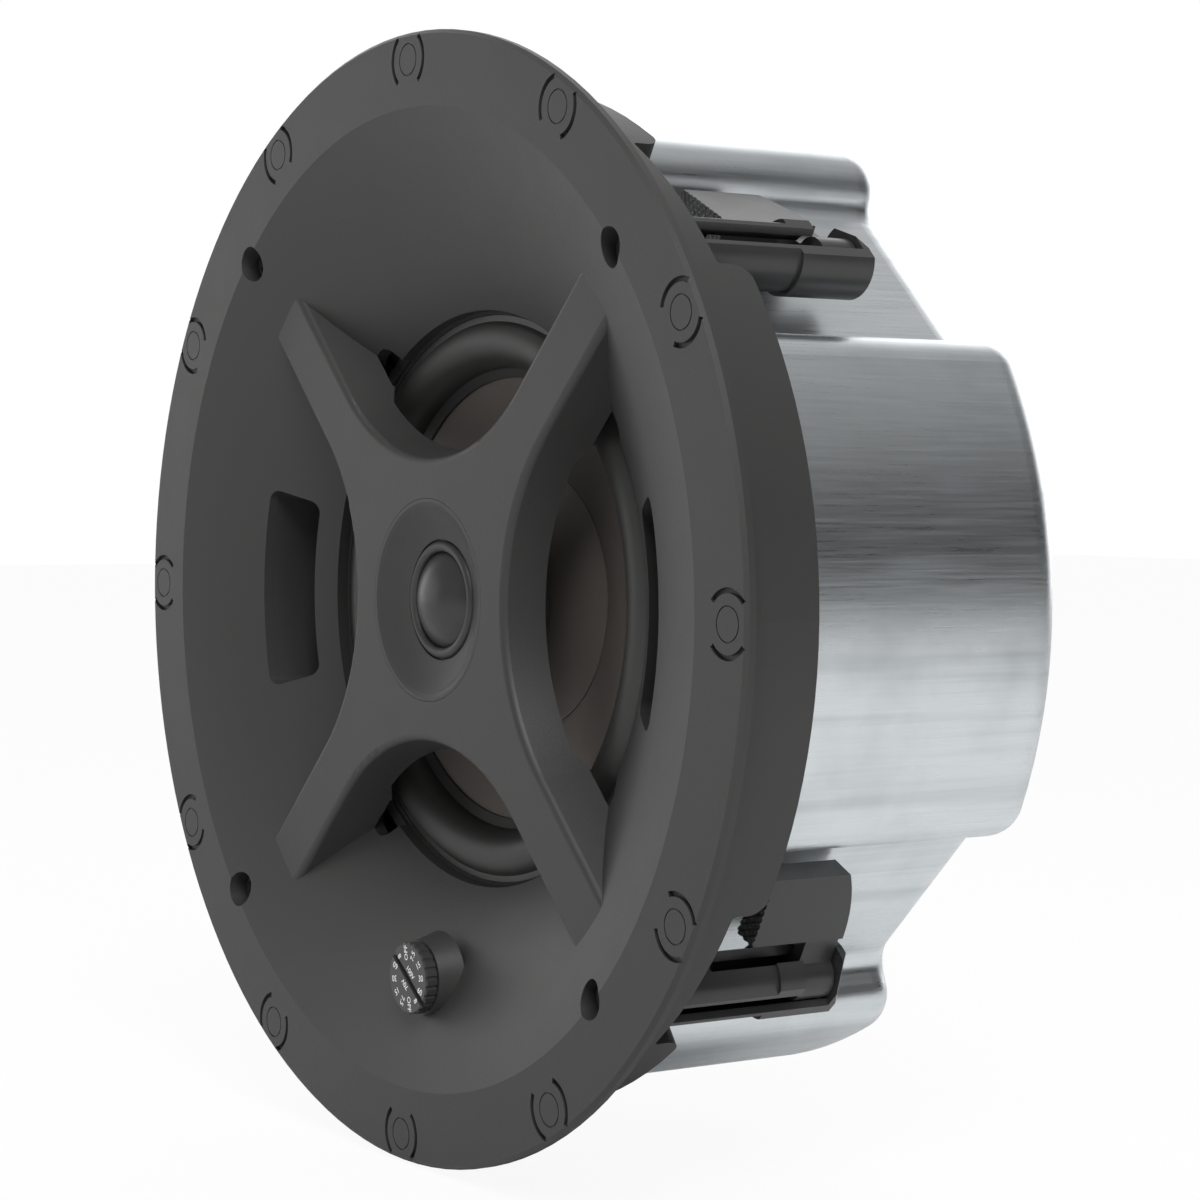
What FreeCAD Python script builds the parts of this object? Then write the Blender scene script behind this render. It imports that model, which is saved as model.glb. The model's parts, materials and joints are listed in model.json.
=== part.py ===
# Ceiling speaker with a clamped baffle, coaxial driver, line transformer and back can.
#
# Frame, in millimetres: the speaker's axis is Y. The front faces -Y, the back can runs to +Y,
# and +Z is the photograph's up, with the power dial at the bottom. The origin is the centre of
# the flange's ceiling-side face, where the flange seats. Angles run counter-clockwise as seen
# from the front, from +X at three o'clock.

import FreeCAD, Part
import os
from math import atan2, cos, degrees, hypot, radians, sin, sqrt, tan

V = FreeCAD.Vector

# Flange, collar and dish of the moulded baffle
flange_r = 120.0
flange_t = 2.3
rim_bevel = 0.8
ring_w = 15.8
collar_inset = 10.5
collar_wall = 2.2
collar_h = 22.9
window_y = 15.7
window_from = -6.8
window_to = 13.3
window_corner_r = 0.8
window_shoulder_r = 4.0
window_cheek_depth = 5.3
window_cheek_t = 2.2
window_cheek_y = 9.2
dish_sag = 1.609
throat_y = 16.7
dish_wall = 2.5
can_seat_y = 5.2
gasket_t = 0.8
rib_w = 2.9
woofer_seat_y = 19.4

# Cross bridge that carries the tweeter in front of the woofer
arm_angle = 45.0
arm_half_w = 6.9
waist_x = 79.0
bridge_draft = 14.0
bridge_edge_r = 1.6
bridge_back_y = 12.3
bridge_front_y = 3.15
bridge_plate_out = 7.8
window_end_inset = 5.2
underside_flat_r = 52.0
notch_half_w = 13.5
notch_out = 3.7
notch_in = 6.0
notch_corner_r = 3.0
notch_y = 14.0
notch_floor_gap = 0.7

# Reflex ports
port_inset = 5.2
port_w = 12.5
port_half_angle = 17.0
port_corner_share = 0.208
port_wall = 1.9
port_end_y = 50.0

# Grille magnets and the C-shaped slits round them
magnet_count = 12
magnet_inset = 5.7
magnet_r = 3.2
magnet_t = 1.4
slit_inner_r = 5.65
slit_outer_r = 6.75
slit_half_angle = 50.0
slit_depth = 0.9
mark_r = 3.35
mark_w = 0.3
mark_depth = 0.25

# Power dial
dial_inset = 23.2
dial_r = 7.7
dial_face_y = -0.9
dial_t = 2.8
dial_flutes = 24
flute_r = 0.45
dial_slot_w = 1.5
dial_slot_depth = 0.8
dial_slot_angle = -38.0
shaft_r = 3.0
boss_r = 8.0
boss_root_r = 9.6
boss_gap = 0.3
switch_r = 12.0
switch_pad_rim = 1.0
switch_len = 15.0
switch_lug_count = 12
switch_lug_circle_r = 8.6

# Corner clamps
clamp_inset = 6.5
clamp_angle = 43.2
clamp_count = 4
driver_hole_r = 4.0
driver_hole_y = 4.0
tower_r = 6.9
tower_bore_r = 4.9
barrel_r = 7.7
barrel_y = 39.3
tower_end_y = 57.4
cap_t = 1.6
cap_bevel = 3.6
cap_bevel_angle = -60.0
slot_half_angle = 23.0
tuck_half_angle = 27.0
out_slot_y = 9.0
screw_r = 2.0
screw_head_r = 3.5
screw_head_t = 2.4
clamp_travel = 22.0
run_gap = 0.05
play = 0.3
hub_r = 4.6
hub_y = 47.0
hub_len = 8.4
nut_r = 3.3
nut_len = 5.0
arm_t = 3.0
arm_lean = 20.0
paddle_start = 11.0
paddle_end = 26.8
paddle_t = 5.6
paddle_out = 3.0
paddle_y = 31.7
paddle_len = 23.3
paddle_rear_r = 34.0
elbow_r = 1.3
tooth_pitch = 1.6
tooth_depth = 0.45
tooth_turn = 38.0

# Back can of drawn sheet steel
can_flange_gap = 0.7
can_flange_w = 1.6
can_end_y = 90.7
sheet_t = 0.9
pocket_depth = 14.0
pocket_floor_from = -17.0
pocket_floor_to = 27.5
pocket_slope = 4.4
pocket_corner_r = 5.0
shoulder_r = 8.4
can_edge_r = 8.0
can_screw_inset = 7.6
can_screw_len = 5.0
can_screw_t = (-14.4, 17.5)
small_screw_r = 1.5
small_head_r = 2.9
small_head_t = 1.9

# Woofer
surround_w = 10.0
surround_in_y = 23.3
surround_out_r = 60.0
surround_crest_y = 17.7
surround_lip_w = 1.3
lip_gap = 1.0
surround_t = 0.6
basket_rim = 3.5
basket_t = 1.6
cone_t = 0.7
cone_inner_y = 34.6
dust_cap_r = 24.0
dust_cap_h = 4.0
coil_r = 13.0
former_t = 0.35
winding_t = 0.6
winding_y = 49.5
winding_len = 6.5
pole_r = 12.3
gap_r = 14.2
plate_y = 48.0
plate_r = 36.0
plate_t = 5.0
ferrite_r = 40.0
ferrite_bore_r = 21.0
ferrite_t = 12.0
back_plate_t = 5.0
pole_vent_r = 4.0
spider_y = 42.4
spider_r = 37.0
spider_waves = 4
basket_windows = 4
basket_window_half = 27.0
ear_out = 5.7
ear_r = 5.0
woofer_screw_len = 5.0

# Tweeter
insert_r = 21.7
insert_gap = 0.1
insert_t = 5.0
insert_lip_r = 20.3
guide_r = 20.2
guide_throat_r = 13.0
guide_throat_y = 6.9
dome_r = 10.3
dome_base_y = 7.5
dome_h = 4.2
dome_t = 0.35
dome_roll_h = 1.1
dome_lip_r = 14.5
tweeter_coil_t = 0.35
tweeter_coil_reach = 4.2
housing_r = 20.0
housing_end_y = 22.7
housing_wall = 1.2
frame_plate_t = 1.2
yoke_r = 14.6
yoke_bore_r = 11.0
tweeter_pole_r = 9.5
tweeter_pole_t = 2.5
tweeter_magnet_r = 9.2
yoke_floor_t = 3.0

# Line transformer, crossover board and cable entry inside the can
core_w = 42.0
core_h = 35.0
core_stack = 18.0
core_leg = 14.0
core_inset = 44.0
coil_stand = 7.0
strap_t = 1.2
strap_foot = 10.0
strap_screw_len = 4.0
board_inset = 33.0
board_w = 36.0
board_h = 52.0
board_t = 1.6
board_y = 77.0
post_r = 2.5
grommet_x = 58.0
grommet_z = -42.0
grommet_r = 7.0
grommet_bore_r = 3.5

crossover_coil_r = 9.0
crossover_core_r = 3.5
crossover_coil_h = 11.0
crossover_coil_z = 14.0
capacitor_r = 5.2
capacitor_len = 17.0
capacitor_z = (-18.0, -5.0)

# Sizes that follow from those above
front_y = -flange_t
ring_inner_r = flange_r - ring_w
dial_drop = ring_inner_r - dial_inset
magnet_circle_r = flange_r - magnet_inset
collar_r = flange_r - collar_inset
collar_inner_r = collar_r - collar_wall
window_cheek_r = collar_inner_r - window_cheek_depth
bridge_plate_r = ring_inner_r + bridge_plate_out
window_end_r = ring_inner_r - window_end_inset
clamp_r = collar_r - clamp_inset
can_flange_r = collar_inner_r - can_flange_gap
can_r = can_flange_r - can_flange_w
core_z = can_r - core_inset
board_x = board_inset - can_r
pocket_n = can_r - pocket_depth
can_screw_n = pocket_n + can_screw_inset
surround_lip_r = surround_out_r + surround_lip_w
throat_r = surround_lip_r + lip_gap
surround_in_r = surround_out_r - surround_w
basket_r = surround_lip_r + basket_rim
ear_circle_r = basket_r + ear_out
port_inner_r = throat_r + port_inset
port_outer_r = port_inner_r + port_w
port_corner_r = port_w * port_corner_share
out = {}


def circle_through(a, b, c):
    """Centre and radius of the circle through three (r, y) points."""
    ax, ay = a
    bx, by = b
    cx, cy = c
    d = 2 * (ax * (by - cy) + bx * (cy - ay) + cx * (ay - by))
    a2 = ax * ax + ay * ay
    b2 = bx * bx + by * by
    c2 = cx * cx + cy * cy
    ux = (a2 * (by - cy) + b2 * (cy - ay) + c2 * (ay - by)) / d
    uy = (a2 * (cx - bx) + b2 * (ax - cx) + c2 * (bx - ax)) / d
    return (ux, uy), hypot(ax - ux, ay - uy)


def polar(r, angle, y=0.0):
    """Point at a radius and a clock angle seen from the front."""
    return V(r * cos(radians(angle)), y, r * sin(radians(angle)))


def profile(start, *steps):
    """Closed wire in the (r, y) plane. A step is a point, or a (mid, end) pair for an arc."""
    edges = []
    here = V(start[0], start[1], 0)
    for step in list(steps) + [start]:
        if isinstance(step[0], tuple):
            mid, end = [V(p[0], p[1], 0) for p in step]
            edges.append(Part.Arc(here, mid, end).toShape())
        else:
            end = V(step[0], step[1], 0)
            if (end - here).Length < 1e-7:
                continue
            edges.append(Part.LineSegment(here, end).toShape())
        here = end
    return Part.Wire(edges)


def turned(start, *steps):
    """Solid of revolution about the speaker's axis."""
    face = Part.Face(profile(start, *steps))
    solid = face.revolve(V(0, 0, 0), V(0, 1, 0), 360)
    return solid if solid.Volume > 0 else solid.reversed()


def disc(r, y0, y1, at=(0, 0)):
    """Cylinder along the axis direction between two depths, about the point (x, z)."""
    return Part.makeCylinder(r, y1 - y0, V(at[0], y0, at[1]), V(0, 1, 0))


def tube(r_in, r_out, y0, y1, at=(0, 0)):
    """Hollow cylinder between two depths."""
    return disc(r_out, y0, y1, at).cut(disc(r_in, y0 - 1, y1 + 1, at))


def cone(r0, r1, y0, y1, at=(0, 0)):
    """Frustum along the axis direction."""
    return Part.makeCone(r0, r1, y1 - y0, V(at[0], y0, at[1]), V(0, 1, 0))


def block(x0, x1, y0, y1, z0, z1):
    """Box between two corners."""
    return Part.makeBox(x1 - x0, y1 - y0, z1 - z0, V(x0, y0, z0))


def prism(wire, y0, y1):
    """Solid pushed from a flat wire drawn at y = 0."""
    face = Part.Face(wire)
    face.translate(V(0, y0, 0))
    return face.extrude(V(0, y1 - y0, 0))


def ring_sector(r0, r1, a0, a1, y0, y1):
    """Part of a ring between two radii, two clock angles and two depths."""
    mid = (a0 + a1) / 2
    wire = Part.Wire([
        Part.Arc(polar(r1, a0), polar(r1, mid), polar(r1, a1)).toShape(),
        Part.LineSegment(polar(r1, a1), polar(r0, a1)).toShape(),
        Part.Arc(polar(r0, a1), polar(r0, mid), polar(r0, a0)).toShape(),
        Part.LineSegment(polar(r0, a0), polar(r1, a0)).toShape(),
    ])
    return prism(wire, y0, y1)


def wedge(r, a0, a1, y0, y1):
    """Slice of a cylinder from its centre line out to a radius."""
    mid = (a0 + a1) / 2
    wire = Part.Wire([
        Part.LineSegment(V(0, 0, 0), polar(r, a0)).toShape(),
        Part.Arc(polar(r, a0), polar(r, mid), polar(r, a1)).toShape(),
        Part.LineSegment(polar(r, a1), V(0, 0, 0)).toShape(),
    ])
    return prism(wire, y0, y1)


def spun(shape, angle, at=(0, 0)):
    """Copy turned counter-clockwise, seen from the front, about a line through (x, z)."""
    copy = shape.copy()
    copy.rotate(V(at[0], 0, at[1]), V(0, -1, 0), angle)
    return copy


def moved(shape, x=0.0, y=0.0, z=0.0):
    """Copy shifted by a distance along each axis."""
    copy = shape.copy()
    copy.translate(V(x, y, z))
    return copy


def quarter_copies(shape, first, count=4):
    """The same shape at equal clock angles, starting from the first."""
    return [spun(shape, first + k * 360 / count) for k in range(count)]


def edges_at_depth(shape, y):
    """Edges that lie in one plane square to the axis."""
    return [e for e in shape.Edges if abs(e.BoundBox.YMin - y) < 1e-4 and abs(e.BoundBox.YMax - y) < 1e-4]


def edges_along_axis(shape, length):
    """Straight edges parallel to the axis, of one length, without the seams of round faces."""
    found = [e for e in shape.Edges if abs(e.Length - length) < 1e-3]
    found = [e for e in found if abs(e.BoundBox.YLength - length) < 1e-2]
    return [e for e in found if not any(e.isSeam(f) for f in shape.ancestorsOfType(e, Part.Face))]


def fused(shapes):
    """One solid from several that touch."""
    return shapes[0].multiFuse(shapes[1:]).removeSplitter()


def save(name, shape):
    """Write one node's STEP file and note its size."""
    solids = shape.Solids
    body = solids[0] if len(solids) == 1 else Part.makeCompound(solids)
    body.exportStep(f"parts/{name}.step")
    out[name] = body
    print(f"{name}: {len(solids)} solid(s), {body.Volume / 1000:.2f} cm3, valid {body.isValid()}")


# The dish's front surface is a turned arc, and its back is the same arc one wall further back.
dish_w = ring_inner_r - throat_r
dish_depth = throat_y - front_y
dish_chord = hypot(dish_w, dish_depth)
dish_mid_r = (ring_inner_r + throat_r) / 2 - dish_sag * dish_depth / dish_chord
dish_mid_y = (throat_y + front_y) / 2 - dish_sag * dish_w / dish_chord
dish_points = [(ring_inner_r, front_y), (dish_mid_r, dish_mid_y), (throat_r, throat_y)]
dish_centre, dish_arc_r = circle_through(*dish_points)


def dish_y(r, depth=0.0):
    """Depth of the dish's surface at a radius, moved back through the wall."""
    return dish_centre[1] - sqrt((dish_arc_r - depth) ** 2 - (r - dish_centre[0]) ** 2)


def dish_r(y, depth=0.0):
    """Radius at which the dish's surface has a given depth."""
    return dish_centre[0] - sqrt((dish_arc_r - depth) ** 2 - (dish_centre[1] - y) ** 2)


# The tap switch sits on a flat pad that clears the dish where it is deepest.
switch_pad_y = dish_y(dial_drop - switch_r - switch_pad_rim, dish_wall)


def baffle_shell():
    """Flange ring, collar, dish and the woofer's rear rib, turned in one piece."""
    rib_r = throat_r + rib_w
    seat_r = dish_r(can_seat_y, dish_wall)
    mid_r = (seat_r + rib_r) / 2
    return turned(
        (throat_r, throat_y),
        ((dish_mid_r, dish_mid_y), (ring_inner_r, front_y)),
        (flange_r - rim_bevel, front_y),
        (flange_r, front_y + rim_bevel),
        (flange_r, 0),
        (collar_r, 0),
        (collar_r, collar_h),
        (collar_inner_r, collar_h),
        (collar_inner_r, can_seat_y),
        (seat_r, can_seat_y),
        ((mid_r, dish_y(mid_r, dish_wall)), (rib_r, dish_y(rib_r, dish_wall))),
        (rib_r, woofer_seat_y),
        (throat_r, woofer_seat_y),
    )


def bridge_window(y, inset):
    """Outline of one opening between two arms, drawn at a depth and drawn in by the draft."""
    arc_r = waist_x * sin(radians(arm_angle)) - arm_half_w - inset
    side = V(-sin(radians(arm_angle)), 0, cos(radians(arm_angle)))
    along = V(cos(radians(arm_angle)), 0, sin(radians(arm_angle)))
    touch = V(waist_x, y, 0) + side * arc_r
    half = arm_half_w + inset
    reach = sqrt(window_end_r ** 2 - half ** 2) - waist_x * cos(radians(arm_angle))
    end = touch + along * reach
    flip = [V(p.x, y, -p.z) for p in (touch, end)]
    outer = V(window_end_r, y, 0)
    return Part.Wire([
        Part.Arc(flip[0], V(waist_x - arc_r, y, 0), touch).toShape(),
        Part.LineSegment(touch, end).toShape(),
        Part.Arc(end, outer, flip[1]).toShape(),
        Part.LineSegment(flip[1], flip[0]).toShape(),
    ])


def bridge():
    """Cross of four arms and a hub, flat in front, with drafted and rounded sides."""
    back_y = woofer_seat_y
    slope = tan(radians(bridge_draft))
    lead = 1.0
    cutter = Part.makeLoft([
        bridge_window(bridge_front_y - lead, -slope * lead),
        bridge_window(back_y + lead, slope * (back_y + lead - bridge_front_y)),
    ], True, True)
    plate = disc(bridge_plate_r, bridge_front_y, back_y)
    for copy in quarter_copies(cutter, 0):
        plate = plate.cut(copy)
    rims = edges_at_depth(plate, bridge_front_y)
    rims = [e for e in rims if e.BoundBox.DiagonalLength < 2 * bridge_plate_r]
    plate = plate.makeFillet(bridge_edge_r, rims)
    bowl_back = throat_y + dish_wall / 3
    bowl_mid_r = (throat_r + ring_inner_r) / 2
    inside = dish_wall / 3
    bowl = turned(
        (0, front_y), (ring_inner_r, front_y + inside),
        ((bowl_mid_r, dish_y(bowl_mid_r, inside)), (throat_r, dish_y(throat_r, inside))),
        (throat_r, bowl_back), (0, bowl_back),
    )
    under = turned(
        (0, bridge_back_y), (underside_flat_r, bridge_back_y), (throat_r, throat_y),
        (throat_r, back_y + 1), (0, back_y + 1),
    )
    return plate.common(bowl).cut(under)


def arm_notch():
    """Relief in the dish's edge under one arm, on the +X axis."""
    floor_y = woofer_seat_y - notch_floor_gap
    box = block(throat_r - notch_in, throat_r + notch_out, notch_y, floor_y, -notch_half_w, notch_half_w)
    outer = [e for e in edges_along_axis(box, floor_y - notch_y) if e.BoundBox.XMin > throat_r]
    return box.makeFillet(notch_corner_r, outer)


def port_slot(grow, y0, y1):
    """Rounded slot of one port on the +X axis, grown outward all round."""
    grow_angle = degrees(grow / port_outer_r)
    half = port_half_angle + grow_angle
    slot = ring_sector(port_inner_r - grow, port_outer_r + grow, -half, half, y0, y1)
    return slot.makeFillet(port_corner_r + grow, edges_along_axis(slot, y1 - y0))


def window_ends():
    """Clock angle of each end of a collar window, with the sense that leads out of the window."""
    return [(window_from, -1), (window_to, 1)]


def collar_window():
    """Lowered stretch of the collar beside one clamp, on the arm's axis, with rounded shoulders."""
    top = collar_h + 1
    inner = window_cheek_r - 1
    cut = ring_sector(inner, collar_r + 1, window_from, window_to, window_y, top)
    corners = [e for e in edges_at_depth(cut, window_y) if abs(e.Length - (collar_r + 1 - inner)) < 0.1]
    cut = cut.makeFillet(window_corner_r, corners)
    turn = degrees(window_shoulder_r / collar_r)
    for end, sense in window_ends():
        a0, a1 = sorted((end, end + sense * turn))
        shoulder = ring_sector(inner, collar_r + 1, a0, a1, collar_h - window_shoulder_r, top)
        middle = polar(inner - 1, end + sense * turn, collar_h - window_shoulder_r)
        outward = polar(1, end + sense * turn)
        cut = cut.fuse(shoulder.cut(Part.makeCylinder(window_shoulder_r, collar_r, middle, outward)))
    return cut


def window_cheeks():
    """Two fins that close the ends of one collar window, on the arm's axis."""
    turn = degrees(window_cheek_t / collar_r)
    fins = []
    for end, sense in window_ends():
        a0, a1 = sorted((end, end + sense * turn))
        root_r = collar_inner_r + collar_wall / 2
        fins.append(ring_sector(window_cheek_r, root_r, a0, a1, window_cheek_y, collar_h))
    return fins


def magnet_slits():
    """Two C-shaped slits round one grille magnet, with the magnet's centre on the +X axis."""
    pair = []
    for side in (90, -90):
        slit = ring_sector(slit_inner_r, slit_outer_r, side - slit_half_angle, side + slit_half_angle,
                           front_y - 1, front_y + slit_depth)
        pair.append(moved(slit, x=magnet_circle_r))
    return pair


def clamp_places():
    """Clock angle of each clamp's screw."""
    return [clamp_angle + k * 360 / clamp_count for k in range(clamp_count)]


def make_baffle():
    """The whole moulded baffle."""
    dial_at = (0, -dial_drop)
    boss_front = dial_face_y + dial_t + boss_gap
    boss_back = dish_y(dial_drop) + dish_wall / 2
    shell = baffle_shell()
    boss = cone(boss_r, boss_root_r, boss_front, boss_back, dial_at)
    pad = disc(switch_r + switch_pad_rim, dish_y(dial_drop + boss_r), switch_pad_y, dial_at)
    half_wall = dish_wall / 2
    behind = turned(
        (0, throat_y + 5), (throat_r, throat_y + 5), (throat_r, dish_y(throat_r, half_wall)),
        ((dish_mid_r, dish_y(dish_mid_r, half_wall)), (ring_inner_r, dish_y(ring_inner_r, half_wall))),
        (ring_inner_r, throat_y + 5),
    )
    pieces = [shell, bridge(), boss, pad.common(behind)]
    for k in range(4):
        at = polar(ear_circle_r, arm_angle + 90 * k)
        pieces.append(disc(ear_r - 0.6, dish_y(ear_circle_r, dish_wall / 2) + 1.0,
                           woofer_seat_y + gasket_t, (at.x, at.z)).common(behind))
    for fin in window_cheeks():
        pieces += quarter_copies(fin, arm_angle)
    body = fused(pieces)
    cuts = [disc(shaft_r + 0.4, front_y, switch_pad_y + 1, dial_at)]
    cuts += [disc(insert_r + insert_gap, front_y - 1, bridge_front_y + insert_t)]
    cuts += [disc(insert_lip_r, front_y - 1, woofer_seat_y)]
    cuts += quarter_copies(arm_notch(), arm_angle)
    cuts += quarter_copies(collar_window(), arm_angle)
    cuts += quarter_copies(port_slot(0, front_y, throat_y + 10), 0, 2)
    for k in range(magnet_count):
        cuts += [spun(slit, k * 360 / magnet_count) for slit in magnet_slits()]
        at = polar(magnet_circle_r, k * 360 / magnet_count)
        cuts.append(disc(magnet_r + run_gap, -magnet_t, 1, (at.x, at.z)))
        groove = tube(mark_r - mark_w / 2, mark_r + mark_w / 2, front_y - 1, front_y + mark_depth)
        cuts.append(moved(groove, x=at.x, z=at.z))
    for angle in clamp_places():
        at = polar(clamp_r, angle)
        cuts.append(disc(driver_hole_r, front_y - 1, driver_hole_y, (at.x, at.z)))
        cuts.append(disc(screw_r + play, front_y - 1, can_seat_y + 1, (at.x, at.z)))
    for place in can_screw_places():
        cuts.append(disc(small_screw_r, can_seat_y - 4.0, can_seat_y + 1, place))
    for k in range(4):
        at = polar(ear_circle_r, arm_angle + 90 * k)
        cuts.append(disc(small_screw_r, woofer_seat_y + gasket_t - 4.0, woofer_seat_y + 5, (at.x, at.z)))
    return body.cut(Part.makeCompound(cuts))


def can_screw_places():
    """(x, z) of each screw that holds the can's flange, two in each pocket."""
    places = []
    for k in range(4):
        for t in can_screw_t:
            at = polar(hypot(can_screw_n, t), arm_angle + 90 * k + degrees(atan2(t, can_screw_n)))
            places.append((at.x, at.z))
    return places


def on_pocket_floor(edge, floor_n):
    """Whether an upright edge is one of the two that bound a pocket's floor."""
    x, z = edge.BoundBox.XMin, edge.BoundBox.ZMin
    ends = (pocket_floor_from, pocket_floor_to)
    return any(abs(hypot(x, z) - hypot(floor_n, t)) < 1.0 and hypot(x, z) < can_r - 3 for t in ends)


def can_block(inset, y0, y1, edge_r):
    """Solid of the can's outline, drawn in by an inset, with a rounded rear edge."""
    top = can_r + 6
    floor_n = pocket_n - inset
    rise = top - pocket_n
    lean = pocket_slope * rise / 10
    z0 = pocket_floor_from - inset
    z1 = pocket_floor_to + inset
    corners = [V(floor_n, 0, z0), V(top, 0, z0 - lean), V(top, 0, z1 + lean), V(floor_n, 0, z1)]
    pocket = prism(Part.makePolygon(corners + corners[:1]), y0 - 1, y1 + 1)
    body = disc(can_r - inset, y0, y1)
    for copy in quarter_copies(pocket, arm_angle):
        body = body.cut(copy)
    body = body.removeSplitter()
    middle_n = (pocket_n + can_r) / 2
    upright = edges_along_axis(body, y1 - y0)
    shoulders = [e for e in upright if hypot(e.BoundBox.XMin, e.BoundBox.ZMin) > middle_n]
    body = body.makeFillet(shoulder_r - inset, shoulders)
    upright = edges_along_axis(body, y1 - y0)
    corners = [e for e in upright if on_pocket_floor(e, floor_n)]
    body = body.makeFillet(pocket_corner_r + inset, corners)
    if edge_r > 0:
        body = body.makeFillet(edge_r, edges_at_depth(body, y1))
    return body


def clamp_notches(y0, y1):
    """Clearance round each clamp tower through the can's flange and gasket."""
    shapes = []
    for angle in clamp_places():
        at = polar(clamp_r, angle)
        shapes.append(disc(tower_r + play, y0 - 1, y1 + 1, (at.x, at.z)))
    return shapes


def make_can():
    """Drawn can with its outward flange under the clamps and its cable hole."""
    y0 = can_seat_y + gasket_t
    outer = can_block(0, y0, can_end_y, can_edge_r)
    inner = can_block(sheet_t, y0 - 1, can_end_y - sheet_t, can_edge_r - sheet_t)
    flange = disc(can_flange_r, y0, y0 + sheet_t)
    body = outer.fuse(flange).cut(inner)
    cuts = clamp_notches(y0, y0 + sheet_t)
    cuts += [disc(small_screw_r + 0.1, y0 - 1, y0 + 2, place) for place in can_screw_places()]
    cuts.append(disc(grommet_r, can_end_y - 4, can_end_y + 1, (grommet_x, grommet_z)))
    for place in strap_screw_places():
        cuts.append(disc(small_screw_r + 0.1, can_end_y - 4, can_end_y + 1, place))
    return body.cut(Part.makeCompound(cuts)).removeSplitter()


def make_can_gasket():
    """Foam gasket under the can's flange."""
    y0 = can_seat_y
    y1 = can_seat_y + gasket_t
    ring = disc(can_flange_r, y0, y1).cut(can_block(sheet_t, y0 - 1, y1 + 1, 0))
    cuts = clamp_notches(y0, y1)
    cuts += [disc(small_screw_r + 0.1, y0 - 1, y1 + 1, place) for place in can_screw_places()]
    return ring.cut(Part.makeCompound(cuts))


def small_screw(at, head_y, length, head_side):
    """Pan-head screw. head_side is +1 where the head lies towards the can's rear."""
    base = head_y + head_side * small_head_t
    head = disc(small_head_r, min(head_y, base), max(head_y, base), at)
    rim = edges_at_depth(head, base)
    head = head.makeFillet(0.8, rim)
    tip = head_y - head_side * length
    shank = disc(small_screw_r - run_gap, min(head_y, tip), max(head_y, tip), at)
    cross = block(at[0] - 1.6, at[0] + 1.6, min(base, base - head_side), max(base, base - head_side),
                  at[1] - 0.35, at[1] + 0.35)
    cross = cross.fuse(spun(cross, 90, at))
    return head.fuse(shank).cut(cross)


def strap_screw_places():
    """(x, z) of the two screws that hold the transformer's strap to the can."""
    x = core_w / 2 + strap_t + strap_foot / 2
    return [(-x, core_z), (x, core_z)]


def make_tower():
    """Clamp tower on the +X axis: slotted channel, wider rear barrel and bevelled end cap."""
    at = (clamp_r, 0)
    body = disc(tower_r, can_seat_y, tower_end_y, at).fuse(disc(barrel_r, barrel_y, tower_end_y, at))
    body = body.cut(disc(tower_bore_r, out_slot_y, tower_end_y - cap_t, at))
    body = body.cut(disc(screw_r + play, can_seat_y - 1, out_slot_y + 1, at))
    body = body.cut(disc(screw_r + run_gap, tower_end_y - cap_t - 1, tower_end_y + 1, at))
    tuck = 90 + arm_lean
    swing = wedge(barrel_r + 2, -slot_half_angle, tuck + tuck_half_angle, hub_y - 1.2, tower_end_y - cap_t)
    out_slot = wedge(barrel_r + 2, -slot_half_angle, slot_half_angle, out_slot_y, hub_y)
    tuck_slot = wedge(barrel_r + 2, tuck - tuck_half_angle, tuck + tuck_half_angle,
                      hub_y - clamp_travel - 1.5, hub_y)
    for cutter in (swing, out_slot, tuck_slot):
        body = body.cut(moved(cutter, x=clamp_r))
    bevel = Part.makeBox(4 * barrel_r, barrel_r, 4 * barrel_r, V(-2 * barrel_r, 0, -2 * barrel_r))
    bevel.rotate(V(0, 0, 0), V(1, 0, 0), 45)
    bevel = moved(bevel, y=tower_end_y - cap_bevel / 2, z=barrel_r - cap_bevel / 2)
    bevel = spun(bevel, cap_bevel_angle)
    body = body.cut(moved(bevel, x=clamp_r))
    reach = collar_r - 2 * play
    keep = block(0, reach, window_y + play, tower_end_y + 1, -reach, reach)
    keep = keep.fuse(disc(collar_inner_r - play / 2, can_seat_y - 1, window_y + play))
    return body.common(keep).removeSplitter()


def make_clamp_screw():
    """Long clamp screw on the +X axis with a cross recess in its head."""
    at = (clamp_r, 0)
    head_y = driver_hole_y - screw_head_t
    head = disc(screw_head_r, head_y, driver_hole_y, at)
    head = head.makeFillet(0.9, edges_at_depth(head, head_y))
    body = head.fuse(disc(screw_r, driver_hole_y, tower_end_y - 0.2, at))
    cross = block(clamp_r - 2.1, clamp_r + 2.1, head_y - 1, head_y + 1.4, -0.5, 0.5)
    return body.cut(cross.fuse(spun(cross, 90, at)))


def make_clamp_nut():
    """Round brass nut that travels on the screw inside the dog-leg's hub."""
    y0 = hub_y + (hub_len - nut_len) / 2
    return tube(screw_r + run_gap, nut_r, y0, y0 + nut_len, (clamp_r, 0))


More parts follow.
